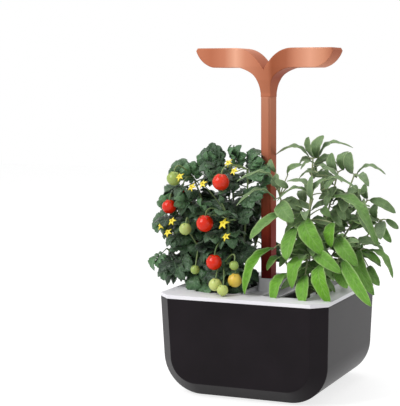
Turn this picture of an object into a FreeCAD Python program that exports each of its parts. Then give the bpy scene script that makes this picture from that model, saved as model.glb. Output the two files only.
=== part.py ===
import FreeCAD, Part
import math
import os

# Countertop hydroponic garden: a drafted black planter with a U-shaped front, a lift-out
# water tank, a white cover with two planting wells, a height-adjustable lamp on a column
# and a two-armed head, and a tomato and a sage plant growing in the wells.
# Millimetres. Origin on the surface it stands on, under the middle of the planter.
# +X is to the right as seen from the front, the front faces -Y, +Z is up.

V = FreeCAD.Vector
UP = V(0, 0, 1)
ALONG_Y = V(0, 1, 0)
ALONG_X = V(1, 0, 0)

# how far a cutting block reaches past the surface it cuts
past = 1.0

# planter
rim_width = 190.0
rim_depth = 186.0
casing_top = 106.4
side_lean = 0.03
front_lean = 0.053
corner_cut = 14.7
lower_radius = 42.0
casing_wall = 2.6
foot_lift = 1.2

# rubber feet
foot_radius = 6.0
foot_sink = 1.0
foot_fit = 0.2
foot_spread_x = 46.0
foot_spread_y = 62.0

# water tank
tank_gap = 1.2
tank_wall = 1.8
tank_top = 91.0
rib_height = 1.5
rib_width = 6.0
rib_length = 110.0
rib_offset = 34.0

# white cover
cover_plate = 3.9
well_near = 15.0
well_margin = 30.0
well_half_depth = 62.0
well_corner = 5.0
ledge_corner = 3.0
well_wall = 2.0
ledge_top = 99.0
ledge_thick = 2.0
ledge_width = 3.2
bridge_thick = 3.6
recess_lip = 0.6
skirt_gap = 0.4
skirt_wall = 1.8
skirt_depth = 9.0
notch_width = 8.0
notch_front = -52.0
notch_back = -38.0

# planting baskets
seat_gap = 0.3
basket_flange = 1.6
basket_wall = 1.6
basket_floor = 40.0
basket_corner = 2.8
hollow_corner = 1.0
slot_long = 14.0
slot_wide = 5.0
frame_thick = 1.8
frame_bar = 3.0
frame_corner = 1.5
ear_height = 12.0
ear_thick = 2.0
ear_width = 12.0
ear_y = -38.0

# growing medium and wicks
soft_gap = 0.3
soil_top = 97.0
wick_thick = 2.0
wick_width = 10.0
wick_head_length = 24.0
wick_end = 10.0

# lamp socket in the middle of the bridge
lamp_y = -4.0
column_width = 11.6
column_depth = 17.7
socket_gap = 0.3
sleeve_wall = 2.2
sleeve_floor = 14.0
block_width = 20.0
block_height = 14.6
block_front = -14.8
block_back = 27.0
block_cut = 3.0
pocket_wall = 2.0
pocket_front = 8.0
bridge_fit = 0.3
screw_radius = 1.5
screw_head_radius = 2.8
screw_head_height = 1.8
screw_fit = 0.1
screw_y = 20.0
screw_x = 0.0

# power button, board and inlet
button_radius = 4.5
button_flange_radius = 5.6
button_flange = 1.6
button_proud = 1.2
button_travel = 1.0
button_fit = 0.1
button_y = 14.0
button_round = 0.5
stem_radius = 1.6
board_thick = 1.2
board_stand = 1.4
strip_inset = 1.0
strip_width = 2.0
switch_size = 5.0
switch_height = 3.0
jack_width = 9.0
jack_depth = 5.0
jack_height = 8.0
jack_bore_radius = 2.9
jack_pin_radius = 0.97
jack_back_wall = 1.0

# float gauge
float_inset = 17.5
float_back = 48.0
guide_radius = 7.0
guide_wall = 1.2
guide_bottom = 46.0
float_radius = 5.2
float_height = 12.0
float_stem_radius = 1.6
float_stem_hole = 1.9
guide_drain = 2.9
guide_slot = 5.0
guide_slot_start = 3.4
guide_slot_end = 2.4
guide_lip = 1.2

# lamp column and head
column_start = 18.0
column_wall = 1.4
column_edge = 1.0
lamp_top = 370.2
arm_root_drop = 52.2
head_half = 78.5
head_front = -19.9
head_back = 11.5
head_thick = 20.9
head_wall = 1.7
head_roof = 4.2
head_tip_round = 20.0
head_tip_rise = 17.9
head_tip_corner = 1.8
head_tip_bow = (0.35, 0.385)
arm_under_reach = 36.0
arm_top_reach = 33.0
arm_under_steps = ((2.0, 14.8), (6.2, 8.1), (19.2, 1.0))
arm_top_steps = ((0.56, 3.4), (0.35, 8.2), (0.17, 14.7))
notch_slant = 0.5
notch_floor = 2.0
pocket_start = 30.0
pocket_end = 57.0
notch_drop = 23.2
flare_low = 4.0
flare_high = 0.7
flare_step = 2.0
flare_bend = 14.0
wire_rise = 26.0
seam_inset = 2.2
seam_width = 0.6
seam_start = 3.0
plug_height = 10.0
heat_plate_thick = 2.0
board_led_thick = 1.6
led_size = 3.0
led_height = 1.0
led_columns = 5
led_rows = 2
diffuser_thick = 1.6
diffuser_recess = 0.8
part_gap = 0.2
wire_width = 3.0
wire_thick = 1.6

# plants
leaf_thick = 0.8
leaf_gap = 1.0
stem_lap = 0.6
stalk_lap = 1.5
sage_stem = 1.3
sage_stalk = 0.9
tomato_stem = 1.5
tomato_stalk = 0.8
calyx_width = 5.0
flower_stalk_width = 2.0
flower_radius = 5.4
flower_thick = 1.2
flower_waist = 0.42
petals = 5

parts = {}


def save(name, shape):
    """Keep one node under its name."""
    parts[name] = shape


def box(x0, x1, y0, y1, z0, z1):
    """Axis-aligned block between two corners."""
    return Part.makeBox(x1 - x0, y1 - y0, z1 - z0, V(x0, y0, z0))


def rod(start, end, radius, sides=6):
    """Straight prism with flat sides, for stems and stalks."""
    axis = end.sub(start)
    across = axis.cross(UP if abs(axis.z) < 0.9 * axis.Length else ALONG_X)
    across.normalize()
    other = axis.cross(across)
    other.normalize()
    ring = []
    for k in range(sides):
        turn = 2 * math.pi * k / sides
        ring.append(start + across * (radius * math.cos(turn)) + other * (radius * math.sin(turn)))
    ring.append(ring[0])
    return Part.Face(Part.makePolygon(ring)).extrude(axis)


def u_outline(half, top, bottom, radius, y):
    """U-shaped front outline at one depth: leaning sides, round lower corners, flat bottom."""
    lean = math.atan(side_lean)
    centre_z = bottom + radius
    centre_x = half - (radius + (top - centre_z) * math.sin(lean)) / math.cos(lean)
    side = V(centre_x + radius * math.cos(lean), y, centre_z - radius * math.sin(lean))
    low = V(centre_x, y, bottom)
    turn = -(math.pi / 2 + lean) / 2
    middle = V(centre_x + radius * math.cos(turn), y, centre_z + radius * math.sin(turn))

    def flip(point):
        return V(-point.x, point.y, point.z)

    corner = V(half, y, top)
    edges = [
        Part.makeLine(corner, side),
        Part.Arc(side, middle, low).toShape(),
        Part.makeLine(low, flip(low)),
        Part.Arc(flip(low), flip(middle), flip(side)).toShape(),
        Part.makeLine(flip(side), flip(corner)),
        Part.makeLine(flip(corner), corner),
    ]
    return Part.Face(Part.Wire(edges))


def inner_cut(cut, inset):
    """Corner cut of an outline once its sides and corners have all moved in by the inset."""
    return cut - inset * (2 - math.sqrt(2))


def planter_block(inset, bottom, top):
    """Solid of the planter's shape, inset from its outside, with the chamfer round front and back."""
    half = rim_width / 2 - inset
    deep = rim_depth / 2 - inset
    radius = lower_radius - inset
    tall = casing_top + 3 * corner_cut
    wide_half = half + side_lean * (tall - casing_top)
    body = u_outline(wide_half, tall, bottom, radius, -2 * deep).extrude(V(0, 4 * deep, 0))
    for sign in (-1, 1):
        reach = 3 * deep
        y_top = sign * (deep + front_lean * (tall - casing_top))
        y_low = sign * (deep + front_lean * (bottom - casing_top))
        wedge = Part.makePolygon([
            V(-rim_width, y_top, tall),
            V(-rim_width, y_low, bottom),
            V(-rim_width, sign * reach, bottom),
            V(-rim_width, sign * reach, tall),
            V(-rim_width, y_top, tall),
        ])
        body = body.cut(Part.Face(wedge).extrude(V(2 * rim_width, 0, 0)))
    rims = []
    for face in body.Faces:
        normal = face.normalAt(0.5, 0.5)
        if abs(normal.y) > 0.9:
            rims += [edge for edge in face.Edges if edge.BoundBox.ZMin < tall - past]
    body = body.makeChamfer(inner_cut(corner_cut, inset), rims)
    return body.common(box(-rim_width, rim_width, -rim_depth, rim_depth, bottom, top))


def octagon(half_x, half_y, cut, z0, z1):
    """Upright block with its four corners cut off."""
    ring = [
        V(half_x, half_y - cut, z0), V(half_x - cut, half_y, z0),
        V(cut - half_x, half_y, z0), V(-half_x, half_y - cut, z0),
        V(-half_x, cut - half_y, z0), V(cut - half_x, -half_y, z0),
        V(half_x - cut, -half_y, z0), V(half_x, cut - half_y, z0),
    ]
    ring.append(ring[0])
    return Part.Face(Part.makePolygon(ring)).extrude(V(0, 0, z1 - z0))


def rounded(x0, x1, y0, y1, z0, z1, corner):
    """Upright block with round vertical corners."""
    block = box(x0, x1, y0, y1, z0, z1)
    upright = [edge for edge in block.Edges if edge.BoundBox.ZLength > 0.9 * (z1 - z0)]
    return block.makeFillet(corner, upright)


def well(side, grow, z0, z1, corner):
    """Block of one planting well's plan, grown or shrunk all round."""
    near = well_near - grow
    far = well_far + grow
    x0, x1 = (near, far) if side > 0 else (-far, -near)
    reach = well_half_depth + grow
    return rounded(x0, x1, -reach, reach, z0, z1, corner)


well_far = rim_width / 2 - well_margin
well_middle = (well_near + well_far) / 2

# casing and feet
casing_floor = foot_lift + casing_wall
casing = planter_block(0, foot_lift, casing_top)
casing = casing.cut(planter_block(casing_wall, casing_floor, casing_top + past))
for sign in (-1, 1):
    rib_x = sign * rib_offset
    casing = casing.fuse(box(rib_x - rib_width / 2, rib_x + rib_width / 2, -rib_length / 2,
                             rib_length / 2, casing_floor, casing_floor + rib_height))
feet = []
foot_places = [(x, y) for x in (-foot_spread_x, foot_spread_x) for y in (-foot_spread_y, foot_spread_y)]
foot_places.append((0, 0))
for x, y in foot_places:
    casing = casing.cut(Part.makeCylinder(foot_radius + foot_fit, foot_sink, V(x, y, foot_lift)))
    feet.append(Part.makeCylinder(foot_radius, foot_lift + foot_sink, V(x, y, 0)))
save("outer_casing", casing.removeSplitter())
save("rubber_feet", Part.makeCompound(feet))

# water tank, standing on the casing's ribs
tank_inset = casing_wall + tank_gap
tank_bottom = casing_floor + rib_height
tank = planter_block(tank_inset, tank_bottom, tank_top)
tank = tank.cut(planter_block(tank_inset + tank_wall, tank_bottom + tank_wall, tank_top + past))
save("water_tank", tank.removeSplitter())

# white cover
cover_top = casing_top + cover_plate
float_x = float_inset - rim_width / 2
float_y = rim_depth / 2 - float_back
bridge_top = casing_top
skirt_bottom = casing_top - skirt_depth
skirt_out = casing_wall + skirt_gap
cover = octagon(rim_width / 2, rim_depth / 2, corner_cut, casing_top, cover_top)
skirt_x = rim_width / 2 - skirt_out - side_lean * skirt_depth
skirt_y = rim_depth / 2 - skirt_out - front_lean * skirt_depth
skirt_cut = inner_cut(corner_cut, casing_wall)
skirt = octagon(skirt_x, skirt_y, skirt_cut, skirt_bottom, casing_top + cover_plate / 2)
skirt = skirt.cut(octagon(skirt_x - skirt_wall, skirt_y - skirt_wall, inner_cut(skirt_cut, skirt_wall),
                          skirt_bottom - past, casing_top + cover_plate))
cover = cover.fuse(skirt)
for side in (-1, 1):
    wall = well(side, well_wall, ledge_top - ledge_thick, cover_top, well_corner + well_wall)
    cover = cover.fuse(wall)
recess_half = well_near - well_wall - recess_lip
bridge_half = well_near - well_wall / 4
cover = cover.fuse(box(-bridge_half, bridge_half, -well_half_depth - well_wall / 2,
                       well_half_depth + well_wall / 2, bridge_top - bridge_thick, bridge_top))
cover = cover.cut(box(-recess_half, recess_half, -well_half_depth, well_half_depth,
                      bridge_top, cover_top + past))
for side in (-1, 1):
    cover = cover.cut(well(side, 0, ledge_top, cover_top + past, well_corner))
    cover = cover.cut(well(side, -ledge_width, ledge_top - ledge_thick - past, cover_top, ledge_corner))
cover = cover.cut(box(-well_far - notch_width, -well_far + past, notch_front, notch_back,
                      casing_top - past, cover_top + past))
sleeve_x = column_width / 2 + socket_gap + sleeve_wall
sleeve_y = column_depth / 2 + socket_gap + sleeve_wall
cover = cover.cut(box(-sleeve_x - bridge_fit, sleeve_x + bridge_fit, lamp_y - sleeve_y - bridge_fit,
                      lamp_y + sleeve_y + bridge_fit, bridge_top - bridge_thick - past, bridge_top + past))
cover = cover.cut(Part.makeCylinder(screw_radius + screw_fit, bridge_thick + 2 * past,
                                    V(screw_x, screw_y, bridge_top - bridge_thick - past)))
cover = cover.cut(Part.makeCylinder(float_stem_hole, cover_plate + 2 * past,
                                    V(float_x, float_y, casing_top - past)))
save("top_cover", cover.removeSplitter())

# float gauge under the cover
guide = Part.makeCylinder(guide_radius, casing_top - guide_bottom, V(float_x, float_y, guide_bottom))
guide = guide.cut(Part.makeCylinder(guide_radius - guide_wall, casing_top - guide_bottom - guide_lip,
                                    V(float_x, float_y, guide_bottom + guide_lip)))
guide = guide.cut(Part.makeCylinder(guide_drain, casing_top, V(float_x, float_y, 0)))
window = box(float_x - 2 * guide_radius, float_x + 2 * guide_radius, float_y - guide_slot / 2,
             float_y + guide_slot / 2, guide_bottom + guide_slot_start, casing_top - guide_slot_end)
save("float_guide", guide.cut(window))
float_body = Part.makeCylinder(float_radius, float_height, V(float_x, float_y, guide_bottom + guide_lip))
float_body = float_body.fuse(Part.makeCylinder(float_stem_radius, cover_top - guide_bottom - guide_lip,
                                               V(float_x, float_y, guide_bottom + guide_lip)))
save("water_float", float_body.removeSplitter())

# planting baskets, their frames, medium and wicks
flange_top = ledge_top + basket_flange
frame_top = flange_top + frame_thick
for side, word in ((-1, "left"), (1, "right")):
    flange = well(side, -seat_gap, ledge_top, flange_top, well_corner - seat_gap)
    body_in = ledge_width + seat_gap
    basket = flange.fuse(well(side, -body_in, basket_floor, ledge_top, basket_corner))
    hollow_in = body_in + basket_wall
    basket = basket.cut(well(side, -hollow_in, basket_floor + basket_wall, flange_top + past, hollow_corner))
    middle = side * well_middle
    basket = basket.cut(box(middle - slot_long / 2, middle + slot_long / 2, -slot_wide / 2,
                            slot_wide / 2, basket_floor - past, basket_floor + basket_wall + past))
    save("basket_" + word, basket)
    ring = well(side, -seat_gap, flange_top, frame_top, well_corner - seat_gap)
    ring = ring.cut(well(side, -seat_gap - frame_bar, flange_top - past, frame_top + past, frame_corner))
    for end in (well_near + seat_gap, well_far - seat_gap - ear_thick):
        x0 = end if side > 0 else -end - ear_thick
        ring = ring.fuse(box(x0, x0 + ear_thick, ear_y - ear_width / 2, ear_y + ear_width / 2,
                             flange_top, flange_top + ear_height))
    save("pod_frame_" + word, ring.removeSplitter())
    wick_floor = basket_floor + basket_wall
    wick = box(middle - wick_head_length / 2, middle + wick_head_length / 2, -wick_width / 2,
               wick_width / 2, wick_floor, wick_floor + wick_thick)
    wick = wick.fuse(box(middle - wick_width / 2, middle + wick_width / 2, -wick_thick / 2,
                         wick_thick / 2, wick_end, wick_floor))
    save("wick_" + word, wick.removeSplitter())
    soil = well(side, -hollow_in - soft_gap, wick_floor + wick_thick + soft_gap, soil_top, hollow_corner)
    save("growing_medium_" + word, soil)

# lamp socket: a block on the bridge with a closed sleeve below it
block_top = bridge_top + block_height
block = box(-block_width / 2, block_width / 2, block_front, block_back, bridge_top, block_top)
upright = [edge for edge in block.Edges if edge.BoundBox.ZLength > block_height / 2]
block = block.makeChamfer(block_cut, upright)
socket = block.fuse(box(-sleeve_x, sleeve_x, lamp_y - sleeve_y, lamp_y + sleeve_y, sleeve_floor, bridge_top))
bore_x = column_width / 2 + socket_gap
bore_y = column_depth / 2 + socket_gap
socket = socket.cut(box(-bore_x, bore_x, lamp_y - bore_y, lamp_y + bore_y,
                        sleeve_floor + sleeve_wall, block_top + past))
pocket_x = block_width / 2 - pocket_wall
pocket_top = block_top - pocket_wall
pocket_back = block_back - pocket_wall
socket = socket.cut(box(-pocket_x, pocket_x, pocket_front, pocket_back, bridge_top - past, pocket_top))
socket = socket.cut(Part.makeCylinder(button_radius + button_fit, pocket_wall + 2 * past,
                                      V(0, button_y, pocket_top - past)))
jack_z = bridge_top + board_stand + board_thick + jack_height / 2
socket = socket.cut(Part.makeCylinder(jack_bore_radius, pocket_wall + 2 * past,
                                      V(0, pocket_back - past, jack_z), ALONG_Y))
save("lamp_socket", socket.removeSplitter())

# board on two stand-off strips, with the push switch and the inlet on it
board_z = bridge_top + board_stand
board = box(-pocket_x + part_gap, pocket_x - part_gap, pocket_front + part_gap, pocket_back - part_gap,
            board_z, board_z + board_thick)
for sign in (-1, 1):
    strip_x = sign * (pocket_x - strip_inset - strip_width / 2)
    board = board.fuse(box(strip_x - strip_width / 2, strip_x + strip_width / 2, pocket_front + strip_inset,
                           pocket_back - strip_inset, bridge_top, board_z))
save("control_board", board.removeSplitter())
board_top = board_z + board_thick
switch = box(-switch_size / 2, switch_size / 2, button_y - switch_size / 2, button_y + switch_size / 2,
             board_top, board_top + switch_height)
save("push_switch", switch)
jack = box(-jack_width / 2, jack_width / 2, pocket_back - jack_depth, pocket_back, board_top,
           board_top + jack_height)
jack = jack.cut(Part.makeCylinder(jack_bore_radius, jack_depth - jack_back_wall,
                                  V(0, pocket_back - jack_depth + jack_back_wall, jack_z), ALONG_Y))
jack = jack.fuse(Part.makeCylinder(jack_pin_radius, jack_depth, V(0, pocket_back - jack_depth, jack_z),
                                   ALONG_Y))
save("power_inlet", jack.removeSplitter())
button = Part.makeCylinder(button_radius, pocket_wall + button_proud, V(0, button_y, pocket_top))
button = button.fuse(Part.makeCylinder(button_flange_radius, button_flange,
                                       V(0, button_y, pocket_top - button_flange)))
switch_top = board_top + switch_height
stem_low = switch_top + button_travel + part_gap
button = button.fuse(Part.makeCylinder(stem_radius, pocket_top - stem_low, V(0, button_y, stem_low)))
crown = [edge for edge in button.Edges
         if edge.BoundBox.ZMin > pocket_top + pocket_wall + button_proud - 0.01]
save("power_button", button.makeFillet(button_round, crown).removeSplitter())
screw_low = bridge_top - bridge_thick - screw_head_height
screw = Part.makeCylinder(screw_head_radius, screw_head_height, V(screw_x, screw_y, screw_low))
screw = screw.fuse(Part.makeCylinder(screw_radius, bridge_thick + board_stand - part_gap,
                                     V(screw_x, screw_y, screw_low + screw_head_height)))
save("socket_screw", screw.removeSplitter())

# lamp column: a square tube that slides in the socket
column_end = lamp_top - arm_root_drop
head_under = lamp_top - head_thick
pocket_roof = lamp_top - head_roof
notch_z = lamp_top - notch_drop
half_w = column_width / 2
half_d = column_depth / 2
column = box(-half_w, half_w, lamp_y - half_d, lamp_y + half_d, column_start, column_end)
corners = [edge for edge in column.Edges if edge.BoundBox.ZLength > column_depth]
column = column.makeChamfer(column_edge, corners)
column = column.cut(box(column_wall - half_w, half_w - column_wall, lamp_y - half_d + column_wall,
                        lamp_y + half_d - column_wall, column_start - past, column_end + past))
seam_x = half_w - seam_inset
column = column.cut(box(seam_x, seam_x + seam_width, lamp_y - half_d - past, lamp_y - half_d + seam_width,
                        block_top + seam_start, column_end + past))
save("lamp_column", column)
plug = box(column_wall - half_w + part_gap, half_w - column_wall - part_gap,
           lamp_y - half_d + column_wall + part_gap, lamp_y + half_d - column_wall - part_gap,
           column_start, column_start + plug_height)
save("column_plug", plug)
wire = box(-wire_width / 2, wire_width / 2, lamp_y - wire_thick / 2, lamp_y + wire_thick / 2,
           column_start + plug_height, column_end + wire_rise)
save("lamp_wiring", wire)


def curve_through(points, first, last):
    """Smooth curve through these points, leaving along first and arriving along last."""
    curve = Part.BSplineCurve()
    curve.interpolate(Points=points, InitialTangent=first, FinalTangent=last)
    return curve.toShape()


def arm_edges(side):
    """Front outline of one arm: round underside, flat lamp, slanting round tip, and down into the notch."""
    def spot(x, drop):
        return V(side * x, head_front, lamp_top - drop)

    out = V(side, 0, 0)
    back = V(-side, 0, 0)
    under = [spot(half_w, arm_root_drop)]
    under += [spot(half_w + x, head_thick + drop) for x, drop in arm_under_steps]
    under.append(spot(arm_under_reach, head_thick))
    tip_start = spot(head_half - head_tip_round, head_thick)
    tip_end = spot(head_half, head_thick - head_tip_rise)
    tip_middle = spot(head_half - head_tip_bow[0] * head_tip_round,
                      head_thick - head_tip_bow[1] * head_tip_rise)
    tip_top = spot(head_half - head_tip_corner, 0)
    over = [spot(arm_top_reach, 0)]
    over += [spot(share * arm_top_reach, drop) for share, drop in arm_top_steps]
    over.append(spot(0, notch_drop))
    return [
        curve_through(under, V(0, 0, 1), out),
        Part.makeLine(under[-1], tip_start),
        Part.Arc(tip_start, tip_middle, tip_end).toShape(),
        Part.makeLine(tip_end, tip_top),
        Part.makeLine(tip_top, over[0]),
        curve_through(over, back, V(-side * notch_slant, 0, -1)),
    ]


root_line = Part.makeLine(V(-half_w, head_front, column_end), V(half_w, head_front, column_end))
head_wire = Part.Wire(Part.__sortEdges__(arm_edges(1) + arm_edges(-1) + [root_line]))
head = Part.Face(head_wire).extrude(V(0, head_back - head_front, 0))
flare_start = column_end + flare_low
flare_end = head_under + flare_high
side_x = -head_half - past
side_view = [
    V(side_x, lamp_y - half_d, column_end), V(side_x, lamp_y - half_d, flare_start),
    V(side_x, head_front + flare_step, flare_end - flare_bend), V(side_x, head_front, flare_end),
    V(side_x, head_front, lamp_top), V(side_x, head_back, lamp_top),
    V(side_x, head_back, flare_end), V(side_x, head_back - flare_step, flare_end - flare_bend),
    V(side_x, lamp_y + half_d, flare_start), V(side_x, lamp_y + half_d, column_end),
]
side_view.append(side_view[0])
head = head.common(Part.Face(Part.makePolygon(side_view)).extrude(V(-2 * side_x, 0, 0)))
cable_way = box(column_wall - half_w, half_w - column_wall, lamp_y - half_d + column_wall,
                lamp_y + half_d - column_wall, column_end - past, notch_z - notch_floor)
head = head.cut(cable_way)
for side in (-1, 1):
    x0, x1 = (pocket_start, pocket_end) if side > 0 else (-pocket_end, -pocket_start)
    head = head.cut(box(x0, x1, head_front + head_wall, head_back - head_wall,
                        head_under - head_wall - past, pocket_roof))
save("lamp_head", head)

# what each lamp holds: heat plate, board, chips and diffuser
for side, word in ((-1, "left"), (1, "right")):
    x0, x1 = (pocket_start, pocket_end) if side > 0 else (-pocket_end, -pocket_start)
    x0 += part_gap
    x1 -= part_gap
    y0 = head_front + head_wall + part_gap
    y1 = head_back - head_wall - part_gap
    plate_low = pocket_roof - heat_plate_thick
    save("heat_plate_" + word, box(x0, x1, y0, y1, plate_low, pocket_roof))
    board_low = plate_low - board_led_thick
    save("led_board_" + word, box(x0, x1, y0, y1, board_low, plate_low))
    chips = []
    for i in range(led_columns):
        for j in range(led_rows):
            cx = x0 + (x1 - x0) * (i + 0.5) / led_columns
            cy = y0 + (y1 - y0) * (j + 0.5) / led_rows
            chips.append(box(cx - led_size / 2, cx + led_size / 2, cy - led_size / 2, cy + led_size / 2,
                             board_low - led_height, board_low))
    save("led_chips_" + word, Part.makeCompound(chips))
    glow_low = head_under + diffuser_recess
    pane = box(x0, x1, y0, y1, glow_low, glow_low + diffuser_thick)
    for sign in (-1, 1):
        y_leg = y0 if sign < 0 else y1 - diffuser_thick
        pane = pane.fuse(box(x0, x1, y_leg, y_leg + diffuser_thick, glow_low, board_low))
    save("diffuser_" + word, pane.removeSplitter())


def nearest_on(stems, point):
    """Closest point to this one on any stem."""
    best = None
    for path, radius in stems:
        for start, end in zip(path, path[1:]):
            run = end.sub(start)
            share = max(0.0, min(1.0, point.sub(start).dot(run) / run.dot(run)))
            spot = start + run * share
            if best is None or point.sub(spot).Length < best[0]:
                best = (point.sub(spot).Length, spot)
    return best[1]


def blade(base, tip, width, face, shape, thick):
    """Flat leaf blade between two points, as wide as its outline says at each share of its length."""
    along = tip.sub(base)
    across = along.cross(face)
    across.normalize()
    normal = across.cross(along)
    normal.normalize()
    one = [base + along * share + across * (width / 2 * wide) for share, wide in shape]
    two = [base + along * share - across * (width / 2 * wide) for share, wide in reversed(shape)]
    ring = one + two
    ring.append(ring[0])
    start = normal * (-thick / 2)
    ring = [p + start for p in ring]
    return Part.Face(Part.makePolygon(ring)).extrude(normal * thick)


def grown(stems, blades, stalk_radius):
    """One connected plant: stems, stalks and blades."""
    pieces = []
    for path, radius in stems:
        for start, end in zip(path, path[1:]):
            step = end.sub(start)
            over = step * (stem_lap * radius / step.Length)
            pieces.append(rod(start, end + over, radius))
    for base, tip, width, face, shape, thick in blades:
        root = nearest_on(stems, base)
        reach = base.sub(root).Length
        if reach > stalk_radius / 2:
            into = base.sub(root) * (stalk_lap / reach)
            pieces.append(rod(root, base + into, stalk_radius))
        pieces.append(blade(base, tip, width, face, shape, thick))
    whole = pieces[0].multiFuse(pieces[1:])
    return max(whole.Solids, key=lambda solid: solid.Volume)


plant_base = soil_top + soft_gap

# sage: long plain leaves on thin woody stems
sage_shape = ((0, 0.12), (0.14, 0.66), (0.4, 1.0), (0.68, 0.84), (0.88, 0.42), (1, 0.06))
sage_face = V(-0.25, -0.8, 0.55)
sage_root = V(well_middle, 0, plant_base)
sage_tops = (
    (V(42, 8, 170), V(46, 10, 252)), (V(62, 5, 180), V(76, 6, 238)), (V(70, 6, 170), V(94, 8, 236)),
    (V(78, 4, 160), V(108, 8, 208)), (V(80, 8, 140), V(124, 14, 188)), (V(36, -12, 150), V(20, -22, 212)),
    (V(56, -16, 150), V(54, -26, 192)), (V(72, -14, 130), V(96, -26, 160)), (V(50, -20, 125), V(56, -34, 150)),
    (V(32, -18, 125), V(22, -30, 162)), (V(64, 10, 120), V(104, 8, 156)),
)
sage_stems = [([sage_root, middle, top], sage_stem) for middle, top in sage_tops]
sage_leaves = (
    (V(48, 9, 252), V(47, -10, 275), 13), (V(50, 10, 252), V(55, 12, 277), 13),
    (V(42, 10, 252), V(8, 0, 262), 9), (V(52, 10, 252), V(83, 25, 270), 10),
    (V(74, 4, 240), V(71, -4, 258), 11), (V(82, 6, 240), V(80, 20, 262), 11),
    (V(91, 4, 237), V(93, -6, 260), 15), (V(96, 9, 236), V(125, 15, 242), 9),
    (V(97, 4, 233), V(115, -12, 230), 9), (V(22, -34, 222), V(-9, -62, 239), 6),
    (V(19, -32, 209), V(-11, -64, 214), 6), (V(14, -20, 238), V(5, -16, 252), 6),
    (V(29, -36, 197), V(3, -66, 172), 12), (V(24, -34, 206), V(44, -50, 190), 16),
    (V(53, -34, 190), V(77, -56, 160), 18), (V(43, -36, 182), V(42, -62, 151), 16),
    (V(84, -32, 188), V(85, -46, 165), 12), (V(70, -10, 211), V(131, -26, 178), 13),
    (V(86, 0, 185), V(127, -8, 170), 13), (V(87, -28, 172), V(113, -46, 147), 15),
    (V(104, -6, 156), V(124, -32, 117), 14), (V(98, -42, 150), V(140, -84, 113), 12),
    (V(68, -38, 154), V(100, -62, 142), 13), (V(58, -40, 152), V(47, -66, 126), 15),
    (V(60, -52, 134), V(66, -76, 108), 14), (V(37, -44, 133), V(30, -72, 108), 13),
    (V(77, -48, 146), V(90, -74, 112), 15), (V(88, -30, 142), V(106, -54, 124), 13),
    (V(108, 8, 154), V(142, 0, 134), 8), (V(112, 2, 138), V(126, -10, 122), 11),
    (V(104, 10, 160), V(131, 12, 148), 6), (V(122, 12, 186), V(134, 10, 164), 8),
    (V(111, 9, 209), V(139, 10, 198), 9), (V(127, 16, 188), V(140, 20, 178), 6),
    (V(108, 9, 210), V(106, 5, 226), 8), (V(119, 5, 190), V(118, 5, 206), 9),
    (V(98, -5, 208), V(100, -7, 226), 12), (V(18, -36, 158), V(-2, -76, 118), 12),
    (V(60, 30, 150), V(80, 62, 160), 14), (V(40, 34, 170), V(36, 66, 176), 14),
    (V(80, 30, 190), V(96, 56, 200), 13), (V(30, 30, 200), V(22, 56, 216), 12),
    (V(70, 34, 130), V(96, 70, 118), 14), (V(50, 36, 210), V(56, 58, 232), 13),
)
sage_blades = [(base, tip, width, sage_face, sage_shape, leaf_thick)
               for base, tip, width in sage_leaves]
sage = grown(sage_stems, sage_blades, sage_stalk)

# tomato: lobed leaves, ripe and unripe fruit on thin trusses, small star flowers
tomato_shape = ((0, 0.1), (0.12, 0.5), (0.2, 0.3), (0.34, 0.95), (0.44, 0.5), (0.58, 1.0), (0.7, 0.45),
                (0.8, 0.5), (1, 0.04))
tomato_face = V(-0.3, -0.75, 0.6)
tomato_root = V(-well_middle, 0, plant_base)
tomato_tops = (
    (V(-42, 0, 180), V(-44, -4, 246)), (V(-66, -4, 170), V(-88, -8, 228)),
    (V(-80, -8, 150), V(-108, -20, 196)), (V(-26, -4, 170), V(-16, -24, 240)),
    (V(-36, -24, 140), V(-34, -38, 190)), (V(-62, -20, 130), V(-80, -34, 168)),
    (V(-76, -14, 120), V(-112, -28, 150)), (V(-50, 20, 160), V(-66, 34, 220)),
    (V(-24, 20, 150), V(-16, 40, 210)),
    (V(-40, -26, 116), V(-36, -46, 138)), (V(-80, 20, 130), V(-110, 34, 170)),
)
tomato_stems = [([tomato_root, middle, top], tomato_stem) for middle, top in tomato_tops]
tomato_leaves = (
    (V(-46, -6, 246), V(-78, -12, 258), 24), (V(-42, -6, 244), V(-40, -22, 262), 24),
    (V(-18, -24, 238), V(-8, -20, 260), 20), (V(-20, -26, 236), V(12, -30, 240), 22),
    (V(-88, -10, 226), V(-112, -14, 246), 24), (V(-92, -12, 220), V(-124, -20, 214), 24),
    (V(-108, -22, 194), V(-134, -24, 172), 24), (V(-106, -22, 190), V(-120, -30, 208), 20),
    (V(-112, -30, 150), V(-124, -50, 136), 20), (V(-108, -30, 146), V(-108, -48, 118), 22),
    (V(-90, -32, 150), V(-84, -58, 124), 24), (V(-70, -34, 140), V(-66, -62, 112), 24),
    (V(-50, -42, 128), V(-46, -68, 110), 22), (V(-34, -46, 130), V(-12, -58, 112), 22),
    (V(-30, -36, 160), V(-6, -48, 146), 22), (V(-26, -34, 186), V(-4, -42, 196), 22),
    (V(-60, -30, 190), V(-66, -48, 206), 24), (V(-76, -30, 200), V(-92, -44, 212), 22),
    (V(-66, -34, 160), V(-58, -54, 164), 24), (V(-86, -34, 170), V(-104, -50, 160), 22),
    (V(-44, -34, 206), V(-40, -50, 220), 22), (V(-60, -16, 226), V(-64, -30, 244), 22),
    (V(-112, 30, 168), V(-132, 44, 158), 24), (V(-66, 36, 220), V(-80, 56, 236), 26),
    (V(-16, 40, 208), V(-10, 60, 222), 24), (V(-40, 36, 190), V(-44, 68, 196), 26),
    (V(-84, 36, 180), V(-104, 62, 190), 26), (V(-60, 40, 150), V(-62, 76, 134), 26),
    (V(-90, 34, 140), V(-112, 64, 122), 26), (V(-26, 40, 150), V(-22, 72, 136), 24),
    (V(-30, 20, 226), V(-20, 34, 246), 24), (V(-82, 10, 226), V(-98, 24, 244), 24),
)
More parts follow.
